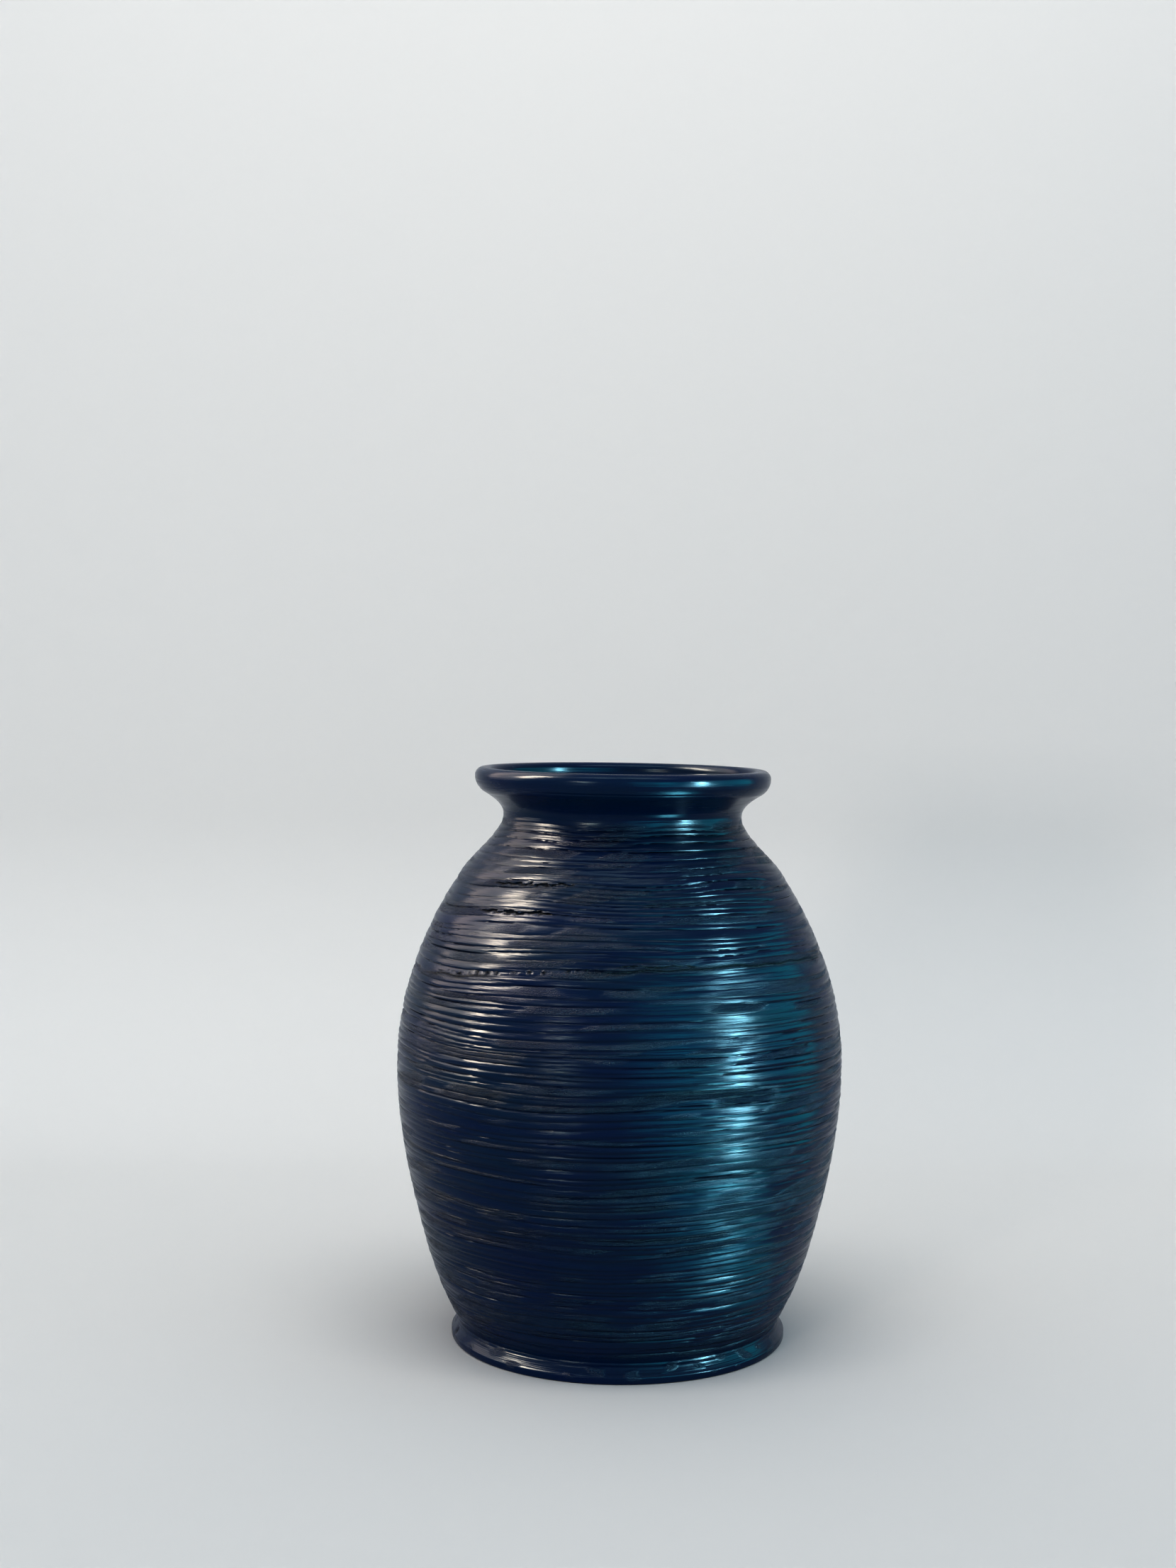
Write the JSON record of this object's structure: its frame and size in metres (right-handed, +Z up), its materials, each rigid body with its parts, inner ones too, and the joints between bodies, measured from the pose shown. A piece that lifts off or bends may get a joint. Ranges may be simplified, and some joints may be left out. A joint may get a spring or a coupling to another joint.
{
  "type": "stoneware vase",
  "caption": "Barrel-shaped stoneware vase with a combed body, a short drawn-in neck, a thick rolled rim and a flared foot.",
  "frame": {"origin": "centre of the foot, on the surface that the vase stands on", "axes": "+Z up the axis of the pot, towards the mouth; +Y away from the side that is seen first; the pot is the same all the way round"},
  "size_m": [0.25, 0.25, 0.32],
  "materials": {
    "dark_glaze": "satin blue-black glaze over combed stoneware",
    "bare_clay": "unglazed dark stoneware, fired, slightly gritty"
  },
  "bodies": {
    "root": {"foot_ring": "dark_glaze", "floor_slab": "bare_clay", "lower_wall": "dark_glaze", "upper_wall": "dark_glaze", "neck_collar": "dark_glaze", "rolled_rim": "dark_glaze"}
  },
  "joints": []
}
